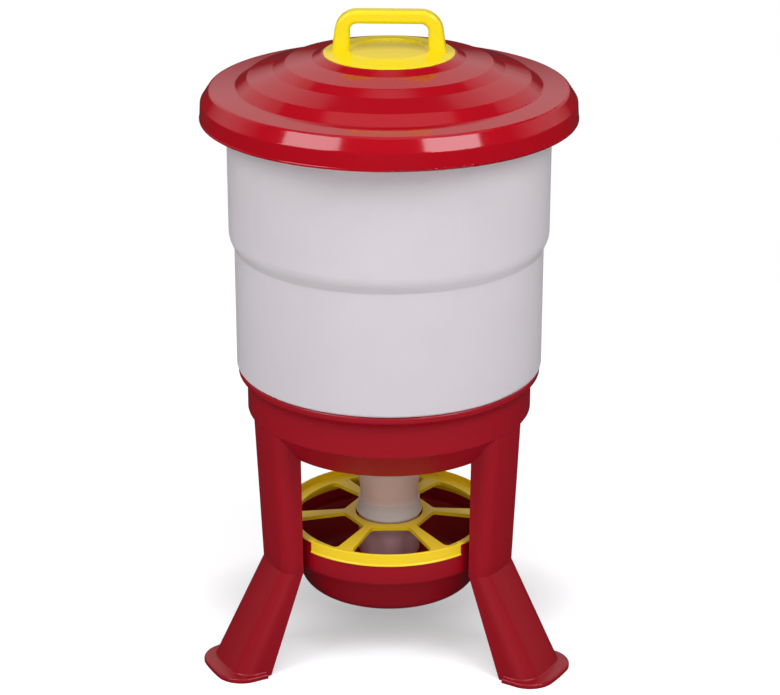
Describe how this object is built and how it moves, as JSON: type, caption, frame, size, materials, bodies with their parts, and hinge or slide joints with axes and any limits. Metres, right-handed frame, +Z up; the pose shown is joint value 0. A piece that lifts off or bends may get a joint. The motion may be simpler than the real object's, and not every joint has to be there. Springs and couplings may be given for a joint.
{
  "type": "hopper feeder",
  "caption": "Free-standing poultry hopper feeder: lidded translucent barrel on a splayed-leg stand, with a flow regulator, a feed tray and an anti-waste grille.",
  "frame": {"origin": "on the floor, under the feeder's axis, midway between the three feet", "axes": "+Z up along the axis from the floor to the lid, -Y the front (between the two front legs), +Y the rear leg"},
  "size_m": [0.4064, 0.4223, 0.7215],
  "materials": {
    "lid_red": "high gloss",
    "stand_red": "satin gloss",
    "yellow": "gloss",
    "milky": "translucent, semi-matt"
  },
  "bodies": {
    "root": {"stand": "stand_red", "tray": "stand_red", "leg_rear": "stand_red", "leg_front_left": "stand_red", "leg_front_right": "stand_red"},
    "grille": {"grille": "yellow", "grille_hub": "yellow"},
    "hopper": {"hopper": "milky", "spout": "milky"},
    "regulator": {"flow_regulator": "milky"},
    "lid": {"lid": "lid_red", "lid_handle": "yellow"}
  },
  "joints": [
    {"name": "hopper_lift", "type": "slide", "parent": "root", "child": "hopper", "axis": [0, 0, 1], "range_m": [0, 0.25]},
    {"name": "lid_lift", "type": "slide", "parent": "hopper", "child": "lid", "axis": [0, 0, 1], "range_m": [0, 0.1]},
    {"name": "regulator_slide", "type": "slide", "parent": "hopper", "child": "regulator", "axis": [0, 0, 1], "range_m": [-0.012, 0.012]},
    {"name": "grille_lift", "type": "slide", "parent": "root", "child": "grille", "axis": [0, 0, 1], "range_m": [0, 0.045]}
  ]
}
